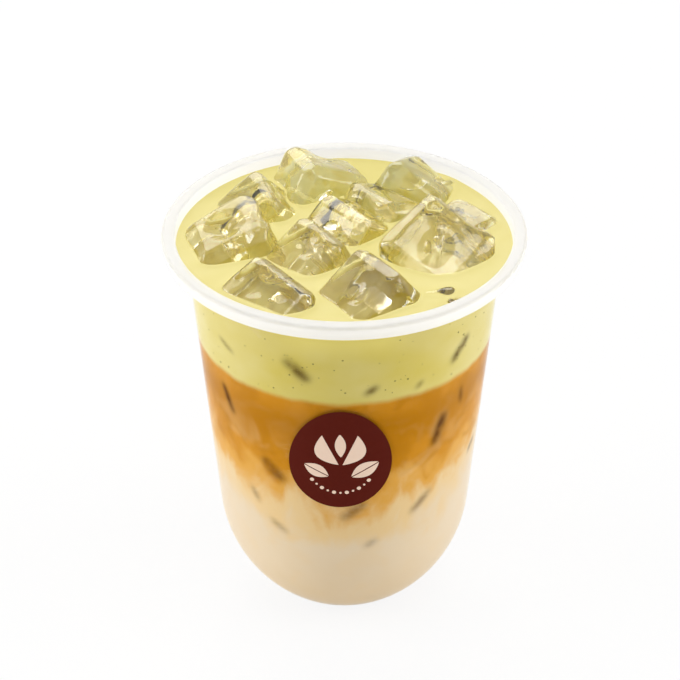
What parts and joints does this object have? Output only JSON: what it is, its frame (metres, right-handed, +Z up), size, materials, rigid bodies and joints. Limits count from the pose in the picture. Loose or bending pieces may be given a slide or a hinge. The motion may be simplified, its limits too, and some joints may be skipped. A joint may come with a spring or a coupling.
{
  "type": "iced pistachio latte in a clear cup",
  "caption": "Iced latte in a clear one-piece plastic cup with a round bottom: milk, espresso and pistachio cream in layers, ice standing out of the top, round label on the front.",
  "frame": {"origin": "centre of the foot ring, on the surface the cup stands on", "axes": "+Z up along the cup's axis, -Y towards the label at the front, +X to the right seen from the front"},
  "size_m": [0.095, 0.095, 0.119],
  "materials": {
    "cup_plastic": "clear, glossy, slightly milky at the rim",
    "label_paper": "satin printed paper, deep maroon with a cream motif",
    "milk": "smooth liquid with wisps of coffee",
    "espresso": "smooth liquid, amber",
    "pistachio": "smooth creamy liquid, pale green-yellow",
    "ice": "clear melting ice, wet and glossy"
  },
  "bodies": {
    "root": {"cup": "cup_plastic", "label": "label_paper", "milk_layer": "milk", "espresso_layer": "espresso", "pistachio_layer": "pistachio", "ice_front": "ice", "ice_chip_front": "ice", "ice_front_right": "ice", "ice_front_left": "ice", "ice_right": "ice", "ice_middle_front": "ice", "ice_left": "ice", "ice_right_rear": "ice", "ice_middle": "ice", "ice_left_rear": "ice", "ice_middle_rear": "ice", "ice_chip_rear": "ice", "ice_rear_right": "ice", "ice_rear_left": "ice"}
  },
  "joints": []
}
